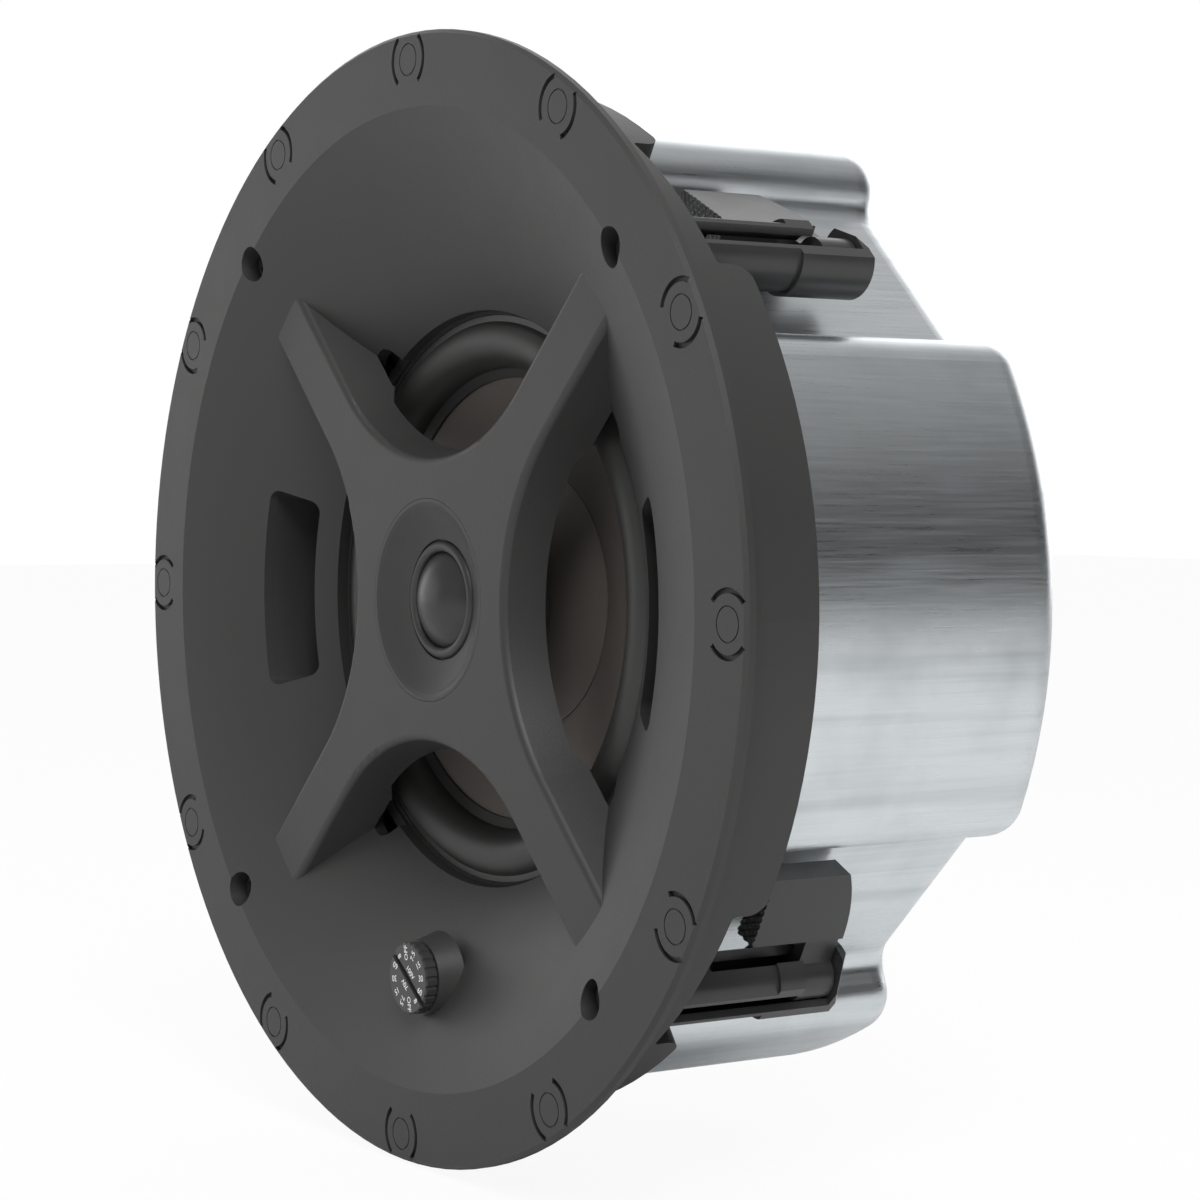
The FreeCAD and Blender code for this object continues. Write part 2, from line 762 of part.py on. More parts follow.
def make_dog_leg():
    """Swinging clamp: hub, narrow arm and thick paddle with a toothed face and a rounded rear."""
    hub = disc(hub_r, hub_y, hub_y + hub_len)
    arm = block(-arm_t / 2, arm_t / 2, hub_y, hub_y + hub_len, 0, paddle_start + 1)
    outer = paddle_out
    paddle = block(outer - paddle_t, outer, paddle_y, paddle_y + paddle_len, paddle_start, paddle_end)
    centre = V(outer - paddle_t - 1, paddle_y + paddle_len - paddle_rear_r, paddle_start)
    paddle = paddle.common(Part.makeCylinder(paddle_rear_r, paddle_t + 2, centre, V(1, 0, 0)))
    body = fused([hub, arm, paddle])
    root = [e for e in edges_along_axis(body, hub_len) if hypot(e.BoundBox.XMin, e.BoundBox.ZMin) < hub_r + 1]
    body = body.makeFillet(0.8, root)
    elbow = [e for e in edges_at_depth(body, hub_y) if abs(e.BoundBox.ZMin - paddle_start) < 1e-4]
    body = body.makeFillet(elbow_r, [e for e in elbow if abs(e.BoundBox.ZMax - paddle_start) < 1e-4])
    y0 = hub_y + (hub_len - nut_len) / 2
    body = body.cut(disc(nut_r + run_gap, y0 - run_gap, y0 + nut_len + run_gap))
    body = body.cut(disc(screw_r + 2 * run_gap, hub_y - 1, hub_y + hub_len + 1))
    grooves = []
    count = int((paddle_end - paddle_start) / tooth_pitch)
    for k in range(count):
        z = paddle_start + (k + 0.5) * tooth_pitch
        for turn in (tooth_turn, -tooth_turn):
            groove = Part.makeBox(4 * paddle_t, 2 * tooth_depth, 2 * tooth_depth,
                                  V(-2 * paddle_t, -tooth_depth, -tooth_depth))
            groove.rotate(V(0, 0, 0), V(1, 0, 0), 45)
            groove.rotate(V(0, 0, 0), V(0, 1, 0), turn)
            grooves.append(moved(groove, x=outer - paddle_t / 2, y=paddle_y - tooth_depth * 0.4, z=z))
    body = body.cut(Part.makeCompound(grooves))
    return moved(spun(body, arm_lean), x=clamp_r)


def make_surround():
    """Rolled foam surround of the woofer, with its glued outer lip."""
    t = surround_t
    lip_y = woofer_seat_y + gasket_t
    mid_r = (surround_in_r + surround_out_r) / 2
    return turned(
        (surround_in_r, surround_in_y),
        ((mid_r, surround_crest_y), (surround_out_r, lip_y - t)),
        (surround_lip_r, lip_y - t),
        (surround_lip_r, lip_y),
        (surround_out_r - t / 2, lip_y),
        ((mid_r, surround_crest_y + t), (surround_in_r + t, surround_in_y + t)),
        (surround_in_r - 2, surround_in_y + t + 0.9),
        (surround_in_r - 2, surround_in_y + 0.9),
    )


def make_cone():
    """Curved paper cone from the surround to the voice coil."""
    top_r = surround_in_r + surround_t - 0.1
    top_y = surround_in_y + surround_t
    inner_r = coil_r
    mid_r = dust_cap_r
    drop = (top_r - mid_r) / (top_r - inner_r)
    mid_y = top_y + (cone_inner_y - top_y) * drop + 0.6
    t = cone_t
    return turned(
        (top_r, top_y + 0.02),
        ((mid_r, mid_y), (inner_r, cone_inner_y)),
        (inner_r, cone_inner_y + t),
        ((mid_r, mid_y + t), (top_r, top_y + t)),
    ).cut(turned(
        (surround_in_r - 2.05, surround_in_y), (top_r + 1, surround_in_y), (top_r + 1, top_y + 0.01),
        (surround_in_r - 2.05, top_y + 0.95),
    )), mid_y


def domed_shell(rim_r, rim_y, rise, t):
    """Thin spherical cap that bulges to the front."""
    sphere_r = (rim_r ** 2 + rise ** 2) / (2 * rise)
    centre = V(0, rim_y - rise + sphere_r, 0)
    shell = Part.makeSphere(sphere_r, centre).cut(Part.makeSphere(sphere_r - t, centre))
    return shell.common(disc(rim_r, rim_y - rise - 1, rim_y))


def make_dust_cap(base_y):
    """Shallow domed cap glued on the cone."""
    return domed_shell(dust_cap_r, base_y - 0.05, dust_cap_h, cone_t)


def make_spider():
    """Corrugated cloth spider between the voice coil and the basket."""
    inner = coil_r + 2 * run_gap
    pitch = (spider_r - 4 - inner - 1) / (2 * spider_waves)
    t = 0.5
    steps = []
    r = inner + 1
    for k in range(2 * spider_waves):
        lift = 0.9 if k % 2 == 0 else -0.9
        steps.append((r + pitch / 2, lift, r + pitch))
        r += pitch
    path = [((m, spider_y + lift), (e, spider_y)) for m, lift, e in steps]
    path.append((spider_r, spider_y))
    path.append((spider_r, spider_y + t))
    back = [(e, m, lift) for m, lift, e in reversed(steps)]
    path.append((back[0][0], spider_y + t))
    for k, (end, mid, lift) in enumerate(back):
        start_r = end - pitch
        path.append(((mid, spider_y + t + lift), (start_r, spider_y + t)))
    path.append((inner, spider_y + t))
    return turned((inner, spider_y), (inner + 1, spider_y), *path)


def make_basket():
    """Pressed steel basket: flange with four ears, open conical frame, spider land and magnet seat."""
    t = basket_t
    y0 = woofer_seat_y + gasket_t
    land_y = spider_y + 0.5
    seat_y = plate_y - t
    wall = turned(
        (surround_out_r - 0.4, y0), (basket_r, y0), (basket_r, y0 + t), (surround_out_r + t, y0 + t),
        (spider_r + 3 + t, land_y), (spider_r + 3 + t, land_y + t), (plate_r, land_y + t),
        (plate_r, plate_y), (gap_r + 3, plate_y), (gap_r + 3, seat_y), (plate_r - t, seat_y),
        (plate_r - t, land_y), (spider_r + 2.4, land_y), (surround_out_r - 0.4, y0 + t * 0.8),
    )
    cuts = []
    for k in range(basket_windows):
        centre = k * 360 / basket_windows
        half = basket_window_half
        cuts.append(ring_sector(spider_r + 4.5, surround_out_r + 1, centre - half, centre + half,
                                y0 + 3 * t, land_y - 0.5))
    ears = []
    for k in range(4):
        at = polar(ear_circle_r, arm_angle + 90 * k)
        web = spun(block(surround_out_r + 2.5, ear_circle_r, y0, y0 + t, -ear_r, ear_r), arm_angle + 90 * k)
        ears += [disc(ear_r, y0, y0 + t, (at.x, at.z)), web]
        cuts.append(disc(small_screw_r + 0.2, y0 - 1, y0 + t + 1, (at.x, at.z)))
    return fused([wall] + ears).cut(Part.makeCompound(cuts))


def make_pole():
    """Steel back plate and vented pole piece in one turned piece."""
    y1 = plate_y + plate_t + ferrite_t
    end = y1 + back_plate_t
    return turned(
        (pole_vent_r, plate_y), (pole_r, plate_y), (pole_r, y1), (plate_r, y1),
        (plate_r, end - 1.2), (plate_r - 1.2, end), (pole_vent_r, end),
    )


def make_faceplate():
    """Tweeter insert with its flared waveguide."""
    back = bridge_front_y + insert_t
    rim = (insert_r + guide_r) / 2
    mid = ((guide_r + guide_throat_r) / 2 - 0.9, (bridge_front_y + guide_throat_y) / 2 + 1.0)
    return turned(
        (insert_r, bridge_front_y), (insert_r, back),
        (dome_lip_r + 0.1, back), (dome_lip_r + 0.1, back - 0.5),
        (guide_throat_r, back - 0.5), (guide_throat_r, guide_throat_y),
        (mid, (guide_r, bridge_front_y + 0.35)), (rim, bridge_front_y),
    )


def make_dome():
    """Thin dome of the tweeter with the short skirt that its coil is glued to."""
    cap = domed_shell(dome_r, dome_base_y, dome_h, dome_t)
    skirt = tube(dome_r - dome_t, dome_r, dome_base_y, dome_base_y + dome_t)
    return fused([cap, skirt])


def make_dome_surround():
    """Half-roll round the dome with its lip clamped behind the faceplate."""
    t = 0.3
    back = bridge_front_y + insert_t
    inner = dome_r + 0.02
    outer = guide_throat_r - 0.3
    mid = (inner + outer) / 2
    y = back - 0.5 - t
    return turned(
        (inner, y), ((mid, y - dome_roll_h), (outer, y)), (outer, back - 0.5), (dome_lip_r, back - 0.5),
        (dome_lip_r, back), (outer - t, back), (outer - t, y + t),
        ((mid, y + t - dome_roll_h), (inner, y + t)),
    )


def make_yoke():
    """Steel cup of the tweeter's motor."""
    front = bridge_front_y + insert_t + frame_plate_t
    end = housing_end_y - housing_wall
    return turned(
        (0, end - yoke_floor_t), (yoke_bore_r, end - yoke_floor_t), (yoke_bore_r, front),
        (yoke_r, front), (yoke_r, end), (0, end),
    )


def make_dial():
    """Fluted power dial with its screwdriver slot and its shaft."""
    at = (0, -dial_drop)
    body = disc(dial_r, dial_face_y, dial_face_y + dial_t, at)
    body = body.makeChamfer(0.35, edges_at_depth(body, dial_face_y))
    cuts = []
    for k in range(dial_flutes):
        p = polar(dial_r + flute_r * 0.35, (k + 0.5) * 360 / dial_flutes)
        cuts.append(disc(flute_r, dial_face_y - 1, dial_face_y + dial_t + 1, (p.x, p.z - dial_drop)))
    slot = block(-dial_r - 1, dial_r + 1, dial_face_y - 1, dial_face_y + dial_slot_depth,
                 -dial_drop - dial_slot_w / 2, -dial_drop + dial_slot_w / 2)
    cuts.append(spun(slot, dial_slot_angle, at))
    body = body.cut(Part.makeCompound(cuts))
    return body.fuse(disc(shaft_r, dial_face_y + dial_t, switch_pad_y + 2, at))


def make_switch():
    """Rotary tap switch behind the dish, with its ring of solder lugs."""
    at = (0, -dial_drop)
    y1 = switch_pad_y + switch_len
    body = disc(switch_r, switch_pad_y, y1, at)
    body = body.makeChamfer(1.0, edges_at_depth(body, y1))
    lugs = []
    for k in range(switch_lug_count):
        p = polar(switch_lug_circle_r, k * 360 / switch_lug_count)
        lug = block(p.x - 0.9, p.x + 0.9, y1 - 0.5, y1 + 4.5, p.z - 0.3, p.z + 0.3)
        lugs.append(moved(lug, z=-dial_drop))
    body = fused([body] + lugs)
    return body.cut(disc(shaft_r + run_gap, switch_pad_y - 1, switch_pad_y + 3, at))


def make_port(angle):
    """Curved duct glued behind one port of the dish."""
    y0 = dish_y(port_outer_r)
    duct = port_slot(port_wall, y0, port_end_y).cut(port_slot(0, y0 - 1, port_end_y + 1))
    front = turned(
        (0, -20), (collar_r, -20), (collar_r, can_seat_y - 3),
        (ring_inner_r, dish_y(ring_inner_r, dish_wall)),
        ((dish_mid_r, dish_y(dish_mid_r, dish_wall)), (throat_r, dish_y(throat_r, dish_wall))),
        (0, dish_y(throat_r, dish_wall)),
    )
    return spun(duct.cut(front), angle)


def core_box():
    """Low and high depth of the transformer's core, which stands on the can's rear wall."""
    y1 = can_end_y - sheet_t
    return y1 - core_h, y1


def make_core():
    """Laminated core with two windows."""
    y0, y1 = core_box()
    z0 = core_z - core_stack / 2
    side = core_leg / 2
    body = block(-core_w / 2, core_w / 2, y0, y1, z0, z0 + core_stack)
    for sign in (-1, 1):
        a = sign * side
        b = sign * (core_w / 2 - side)
        body = body.cut(block(min(a, b), max(a, b), y0 + side, y1 - side, z0 - 1, z0 + core_stack + 1))
    return body


def make_coil():
    """Taped winding round the core's middle leg."""
    y0, y1 = core_box()
    side = core_leg / 2
    half_x = core_w / 2 - side - 0.3
    z0 = core_z - core_stack / 2
    z1 = core_z + core_stack / 2
    body = block(-half_x, half_x, y0 + side + 0.2, y1 - side - 0.2, z0 - coil_stand, z1 + coil_stand)
    body = body.makeFillet(2.0, edges_along_axis(body, y1 - y0 - 2 * side - 0.4))
    return body.cut(block(-side, side, y0, y1, z0, z1))


def make_strap():
    """Steel strap that holds the core down, with a foot at each side."""
    y0, y1 = core_box()
    half = core_w / 2
    t = strap_t
    z0 = core_z - core_stack / 3
    z1 = core_z + core_stack / 3
    body = block(-half - t, half + t, y0 - t, y1, z0, z1).cut(block(-half, half, y0, y1 + 1, z0 - 1, z1 + 1))
    foot = block(half, half + t + strap_foot, y1 - t, y1, z0, z1)
    feet = [foot, moved(foot, x=-2 * half - t - strap_foot)]
    body = fused([body] + feet).cut(block(-half, half, y0, y1 + 1, z0 - 1, z1 + 1))
    holes = [disc(small_screw_r, y1 - t - 1, y1 + 1, place) for place in strap_screw_places()]
    return body.cut(Part.makeCompound(holes))


def board_corners():
    """(x, z) of the crossover board's four posts."""
    inset = 4.0
    dx = board_w / 2 - inset
    dz = board_h / 2 - inset
    return [(board_x + sx * dx, sz * dz) for sx in (-1, 1) for sz in (-1, 1)]


def make_board():
    """Crossover circuit board."""
    board = block(-board_w / 2, board_w / 2, board_y, board_y + board_t, -board_h / 2, board_h / 2)
    return moved(board, x=board_x)


def make_posts():
    """Posts that carry the board on the can's rear wall."""
    posts = [disc(post_r, board_y + board_t, can_end_y - sheet_t, place) for place in board_corners()]
    return Part.makeCompound(posts)


def make_grommet():
    """Rubber grommet in the can's cable hole, grooved for the sheet."""
    at = (grommet_x, grommet_z)
    y1 = can_end_y
    body = disc(grommet_r + 2.2, y1 - sheet_t - 2, y1 + 2, at)
    body = body.makeFillet(1.2, edges_at_depth(body, y1 + 2))
    body = body.cut(tube(grommet_r, grommet_r + 4, y1 - sheet_t, y1, at))
    return body.cut(disc(grommet_bore_r, y1 - 6, y1 + 4, at))


os.makedirs("parts", exist_ok=True)

save("baffle", make_baffle())
magnets = [polar(magnet_circle_r, k * 360 / magnet_count) for k in range(magnet_count)]
save("grille_magnets", Part.makeCompound([disc(magnet_r, -magnet_t, 0, (p.x, p.z)) for p in magnets]))
save("back_can", make_can())
save("can_gasket", make_can_gasket())
can_head_y = can_seat_y + gasket_t + sheet_t
save("can_screws", Part.makeCompound(
    [small_screw(p, can_head_y, can_screw_len, 1) for p in can_screw_places()]))
save("cable_grommet", make_grommet())
save("port_duct_right", make_port(0))
save("port_duct_left", make_port(180))

tower = make_tower()
clamp_screw = make_clamp_screw()
clamp_nut = make_clamp_nut()
dog_leg = make_dog_leg()
for number, angle in enumerate(clamp_places(), 1):
    save(f"clamp_tower_{number}", spun(tower, angle))
    save(f"clamp_screw_{number}", spun(clamp_screw, angle))
    save(f"clamp_nut_{number}", spun(clamp_nut, angle))
    save(f"dog_leg_{number}", spun(dog_leg, angle))

lip_y = woofer_seat_y + gasket_t
woofer_cone, cap_base_y = make_cone()
save("woofer_gasket", tube(surround_lip_r + 0.1, basket_r, woofer_seat_y, lip_y))
save("woofer_surround", make_surround())
save("woofer_cone", woofer_cone)
save("dust_cap", make_dust_cap(cap_base_y))
former = tube(coil_r - former_t, coil_r, cone_inner_y - 3, winding_y + winding_len)
save("voice_coil", former.fuse(tube(coil_r, coil_r + winding_t, winding_y, winding_y + winding_len)))
save("spider", make_spider())
save("woofer_basket", make_basket())
save("top_plate", tube(gap_r, plate_r, plate_y, plate_y + plate_t))
save("woofer_magnet", tube(ferrite_bore_r, ferrite_r, plate_y + plate_t, plate_y + plate_t + ferrite_t))
save("pole_piece", make_pole())
ears = [polar(ear_circle_r, arm_angle + 90 * k) for k in range(4)]
save("woofer_screws", Part.makeCompound(
    [small_screw((p.x, p.z), lip_y + basket_t, woofer_screw_len, 1) for p in ears]))

insert_back = bridge_front_y + insert_t
save("tweeter_faceplate", make_faceplate())
save("tweeter_surround", make_dome_surround())
save("tweeter_dome", make_dome())
tweeter_coil_r = dome_r - dome_t
save("tweeter_coil", tube(
    tweeter_coil_r - tweeter_coil_t, tweeter_coil_r, dome_base_y + dome_t, insert_back + tweeter_coil_reach))
frame_r = housing_r - housing_wall - 0.1
save("tweeter_frame", tube(dome_r + 0.8, frame_r, insert_back, insert_back + frame_plate_t))
save("tweeter_yoke", make_yoke())
magnet_y = insert_back + frame_plate_t + 0.6
yoke_floor_y = housing_end_y - housing_wall - yoke_floor_t
save("tweeter_pole", disc(tweeter_pole_r, magnet_y, magnet_y + tweeter_pole_t))
save("tweeter_magnet", disc(tweeter_magnet_r, magnet_y + tweeter_pole_t, yoke_floor_y))
housing = disc(housing_r, insert_back, housing_end_y)
housing = housing.makeFillet(2.0, edges_at_depth(housing, housing_end_y))
hollow = disc(housing_r - housing_wall, insert_back - 1, housing_end_y - housing_wall)
save("tweeter_housing", housing.cut(hollow))

save("power_dial", make_dial())
save("tap_switch", make_switch())
save("transformer_core", make_core())
save("transformer_coil", make_coil())
save("transformer_strap", make_strap())
save("strap_screws", Part.makeCompound(
    [small_screw(p, can_end_y, strap_screw_len, 1) for p in strap_screw_places()]))
save("crossover_board", make_board())
save("board_posts", make_posts())
choke = tube(crossover_core_r, crossover_coil_r, board_y - crossover_coil_h, board_y)
save("crossover_coil", moved(choke, x=board_x, z=crossover_coil_z))
capacitors = []
for z in capacitor_z:
    start = V(board_x - capacitor_len / 2, board_y - capacitor_r, z)
    capacitors.append(Part.makeCylinder(capacitor_r, capacitor_len, start, V(1, 0, 0)))
save("crossover_capacitors", Part.makeCompound(capacitors))

total = sum(len(s.Faces) for s in out.values())
print(f"{len(out)} nodes, {total} faces")
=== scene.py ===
"""Finishes, dial lettering, camera and studio for the ceiling speaker.

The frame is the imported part's own: metres, the speaker's axis along Y with its front towards -Y,
and +Z up, opposite the power dial.
"""

from __future__ import annotations

import json
import logging
import math
from dataclasses import dataclass, field
from enum import Enum
from typing import Any, Dict, List, Optional, Sequence, Tuple

import bpy
from mathutils import Matrix, Vector

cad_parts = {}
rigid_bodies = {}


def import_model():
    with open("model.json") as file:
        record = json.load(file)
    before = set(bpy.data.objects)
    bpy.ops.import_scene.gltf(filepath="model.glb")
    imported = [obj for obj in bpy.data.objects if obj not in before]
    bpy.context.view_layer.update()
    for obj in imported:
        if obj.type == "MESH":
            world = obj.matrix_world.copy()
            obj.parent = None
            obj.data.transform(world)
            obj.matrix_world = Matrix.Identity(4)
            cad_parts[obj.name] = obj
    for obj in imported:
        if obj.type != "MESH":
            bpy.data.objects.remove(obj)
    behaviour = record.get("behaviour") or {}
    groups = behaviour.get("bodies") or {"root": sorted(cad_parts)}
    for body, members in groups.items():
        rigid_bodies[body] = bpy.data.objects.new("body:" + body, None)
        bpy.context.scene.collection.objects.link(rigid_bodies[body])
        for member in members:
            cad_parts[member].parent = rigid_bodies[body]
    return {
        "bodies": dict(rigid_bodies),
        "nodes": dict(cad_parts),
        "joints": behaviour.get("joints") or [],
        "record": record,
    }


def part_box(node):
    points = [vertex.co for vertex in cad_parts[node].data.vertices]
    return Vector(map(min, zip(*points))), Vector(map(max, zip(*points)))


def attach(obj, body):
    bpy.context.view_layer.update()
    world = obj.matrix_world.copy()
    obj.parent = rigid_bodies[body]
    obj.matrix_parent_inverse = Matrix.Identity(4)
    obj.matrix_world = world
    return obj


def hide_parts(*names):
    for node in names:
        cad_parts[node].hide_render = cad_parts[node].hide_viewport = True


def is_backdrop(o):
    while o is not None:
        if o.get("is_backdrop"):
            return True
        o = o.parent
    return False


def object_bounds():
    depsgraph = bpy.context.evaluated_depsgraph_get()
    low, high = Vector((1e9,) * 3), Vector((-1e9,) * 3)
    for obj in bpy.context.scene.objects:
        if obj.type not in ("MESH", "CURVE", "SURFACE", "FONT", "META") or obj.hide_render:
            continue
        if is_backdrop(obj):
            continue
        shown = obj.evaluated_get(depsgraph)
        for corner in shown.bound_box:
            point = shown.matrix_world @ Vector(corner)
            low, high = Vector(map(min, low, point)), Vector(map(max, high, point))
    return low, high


LOG = logging.getLogger("ceiling_speaker")
MM = 0.001

Color = Tuple[float, float, float]
Point = Tuple[float, float, float]
Span = Tuple[float, float]
Link = Any

WHITE: Color = (1.0, 1.0, 1.0)
EVEN: Point = (1.0, 1.0, 1.0)


class Value:
    """A shader value that adds Math nodes as it is worked on."""

    def __init__(self, nodes: Nodes, socket: Link) -> None:
        """Keep the tree and the socket that carries the value."""
        self.nodes = nodes
        self.socket = socket

    def _math(self, operation: str, *terms: Any) -> Value:
        """Add one Math node.

        Args:
            operation: the Math node's operation.
            terms: values or plain numbers, in the node's order.

        Returns:
            The node's result.
        """
        node = self.nodes.node("ShaderNodeMath", {"operation": operation}, dict(enumerate(terms)))
        return Value(self.nodes, node.outputs[0])

    def __add__(self, other: Any) -> Value:
        """Sum of two values."""
        return self._math("ADD", self, other)

    __radd__ = __add__

    def __sub__(self, other: Any) -> Value:
        """This value less another."""
        return self._math("SUBTRACT", self, other)

    def __rsub__(self, other: Any) -> Value:
        """Another value less this one."""
        return self._math("SUBTRACT", other, self)

    def __mul__(self, other: Any) -> Value:
        """Product of two values."""
        return self._math("MULTIPLY", self, other)

    __rmul__ = __mul__

    def __truediv__(self, other: Any) -> Value:
        """This value over another."""
        return self._math("DIVIDE", self, other)

    def __rtruediv__(self, other: Any) -> Value:
        """Another value over this one."""
        return self._math("DIVIDE", other, self)

    def clamped(self) -> Value:
        """Value held between 0 and 1."""
        return self._math("MINIMUM", self._math("MAXIMUM", self, 0.0), 1.0)

    def sine(self) -> Value:
        """Sine of the value in radians."""
        return self._math("SINE", self)

    def step(self, low: float, high: float) -> Value:
        """Soft step from 0 at low to 1 at high.

        Args:
            low: value at which the step starts.
            high: value at which it ends.

        Returns:
            A value between 0 and 1.
        """
        return ((self - low) / (high - low)).clamped()


class Nodes:
    """A node tree, and the one way in which nodes are added to it."""

    def __init__(self, tree: bpy.types.NodeTree) -> None:
        """Keep the tree and empty it."""
        self.tree = tree
        self.tree.nodes.clear()

    def node(
        self, kind: str, settings: Optional[Dict[str, Any]] = None, inputs: Optional[Dict[Any, Any]] = None
    ) -> bpy.types.Node:
        """Add a node, set it and feed it.

        Args:
            kind: the node's type.
            settings: its properties; "stops" gives a ramp's (position, colour) pairs.
            inputs: values or sockets by input name or number.

        Returns:
            The new node.
        """
        node = self.tree.nodes.new(kind)
        for key, value in (settings or {}).items():
            if key == "stops":
                self._set_stops(node.color_ramp, value)
            else:
                setattr(node, key, value)
        for key, value in (inputs or {}).items():
            self.feed(node.inputs[key], value)
        return node

    @staticmethod
    def _set_stops(ramp: Any, stops: Sequence[Tuple[float, Color]]) -> None:
        """Give a colour ramp its stops.

        Args:
            ramp: the ramp.
            stops: position and colour of each stop.
        """
        while len(ramp.elements) < len(stops):
            ramp.elements.new(0.5)
        for element, (position, color) in zip(ramp.elements, stops):
            element.position = position
            element.color = (*color, 1.0)

    def feed(self, target: Any, value: Any) -> None:
        """Link a socket to an input, or set the input's own value.

        Args:
            target: the input.
            value: a value, a socket, a plain number, a vector or a colour.
        """
        if isinstance(value, Value):
            value = value.socket
        if isinstance(value, bpy.types.NodeSocket):
            self.tree.links.new(value, target)
        elif isinstance(value, tuple) and target.type == "RGBA":
            target.default_value = (*value, 1.0)
        else:
            target.default_value = value

    def blend(self, factor: Value, first: Any, second: Any) -> Link:
        """Mix of two colours.

        Args:
            factor: share of the second colour.
            first: first colour or socket.
            second: second colour or socket.

        Returns:
            The mixed colour's socket.
        """
        node = self.node("ShaderNodeMix", {"data_type": "RGBA"}, {0: factor, 6: first, 7: second})
        return node.outputs[2]


class Shader(Nodes):
    """The node tree of one material, in the part's own coordinates."""

    noise_roughness: float = 0.55

    def __init__(self, name: str) -> None:
        """Make a material with its output and surface shader.

        Args:
            name: the material's name.
        """
        self.material = bpy.data.materials.new(name)
        self.material.use_nodes = True
        super().__init__(self.material.node_tree)
        self.surface = self.node("ShaderNodeBsdfPrincipled")
        self.output = self.node("ShaderNodeOutputMaterial", inputs={"Surface": self.surface.outputs[0]})

    def place(self, scale: Point = EVEN) -> Link:
        """Position on the piece in millimetres, stretched by a scale.

        Args:
            scale: factor along each axis.

        Returns:
            The vector's socket.
        """
        where = self.node("ShaderNodeTexCoord").outputs["Object"]
        factors = tuple(factor / MM for factor in scale)
        scaled = self.node("ShaderNodeVectorMath", {"operation": "MULTIPLY"}, {0: where, 1: factors})
        return scaled.outputs[0]

    def axes(self) -> Tuple[Value, ...]:
        """The piece's x, y and z in millimetres."""
        split = self.node("ShaderNodeSeparateXYZ", inputs={0: self.place()})
        return tuple(Value(self, out) for out in split.outputs)

    def noise(self, size: float, detail: float = 2.0, scale: Point = EVEN) -> Value:
        """Noise from 0 to 1.

        Args:
            size: size of its patches in millimetres.
            detail: number of finer layers.
            scale: stretch along each axis, where a smaller factor gives longer patches.

        Returns:
            The noise value.
        """
        inputs = {"Scale": 1.0 / size, "Detail": detail, "Roughness": self.noise_roughness}
        inputs["Vector"] = self.place(scale)
        return Value(self, self.node("ShaderNodeTexNoise", inputs=inputs).outputs["Fac"])

    def relief(self, height: Value, depth_mm: float) -> None:
        """Raise the surface by a height from 0 to 1.

        Args:
            height: the relief's shape.
            depth_mm: its full depth in millimetres.
        """
        inputs = {"Height": height, "Distance": depth_mm * MM, "Strength": 1.0}
        bump = self.node("ShaderNodeBump", inputs=inputs)
        self.set("Normal", bump.outputs[0])

    def set(self, name: str, value: Any) -> None:
        """Feed one socket of the surface shader."""
        self.feed(self.surface.inputs[name], value)


def shaded(color: Color, factor: float) -> Color:
    """Colour made lighter or darker by a factor."""
    return tuple(min(1.0, channel * factor) for channel in color)


@dataclass(frozen=True)
class Finish:
    """A surface finish with one colour, gloss and a faint unevenness."""

    name: str
    color: Color
    roughness: float
    metallic: float = 0.0
    specular: float = 0.5
    uneven: float = 0.06
    patch_mm: float = 9.0

    def material(self) -> bpy.types.Material:
        """Build the finish's material.

        Returns:
            The material, with all sockets set.
        """
        shader = Shader(self.name)
        shader.set("Metallic", self.metallic)
        shader.set("Specular IOR Level", self.specular)
        self.paint(shader)
        return shader.material

    def paint(self, shader: Shader) -> None:
        """Give the surface its colour and gloss.

        Args:
            shader: the material's nodes.
        """
        patches = shader.noise(self.patch_mm)
        low, high = shaded(self.color, 1 - self.uneven), shaded(self.color, 1 + self.uneven)
        shader.set("Base Color", shader.blend(patches, low, high))
        shader.set("Roughness", self.roughness + (patches - 0.5) * (2 * self.uneven))


@dataclass(frozen=True)
class Grained(Finish):
    """A surface with a fine grain: moulded, coated, foamed or sintered."""

    grain_mm: float = 0.35
    grain_depth_mm: float = 0.02

    def paint(self, shader: Shader) -> None:
        """Add the grain to the plain finish."""
        super().paint(shader)
        shader.relief(shader.noise(self.grain_mm, detail=3.0), self.grain_depth_mm)


@dataclass(frozen=True)
class DrawnSheet(Finish):
    """Zinc-plated sheet with the marks of deep drawing along its axis and cloudy plating."""

    streak_mm: float = 0.5
    streak_length: float = 45.0
    streak_depth_mm: float = 0.012
    cloud_mm: float = 26.0
    band_mm: float = 4.5
    band_edge: Span = (0.5, 0.68)
    cloud_edge: Span = (0.48, 0.7)
    tones: Span = (0.9, 1.08)
    stain: Color = (0.30, 0.33, 0.37)
    stain_share: float = 0.45
    stain_gloss: float = 0.1
    streak_gloss: float = 0.22
    band_relief: float = 0.4

    def paint(self, shader: Shader) -> None:
        """Give the sheet its clouds, its drawn streaks and their relief.

        Args:
            shader: the material's nodes.
        """
        along = (1.0, 1.0 / self.streak_length, 1.0)
        streaks = shader.noise(self.streak_mm, detail=4.0, scale=along)
        bands = shader.noise(self.band_mm, detail=3.0, scale=along)
        clouds = shader.noise(self.cloud_mm, detail=4.0)
        mark = (bands.step(*self.band_edge) * 0.5 + clouds.step(*self.cloud_edge) * 0.5).clamped()
        dark, light = (shaded(self.color, factor) for factor in self.tones)
        tone = shader.blend(streaks, dark, light)
        shader.set("Base Color", shader.blend(mark * self.stain_share, tone, self.stain))
        gloss = self.roughness + (streaks - 0.5) * self.streak_gloss + mark * self.stain_gloss
        shader.set("Roughness", gloss.clamped())
        shader.relief(streaks * (1 - self.band_relief) + bands * self.band_relief, self.streak_depth_mm)


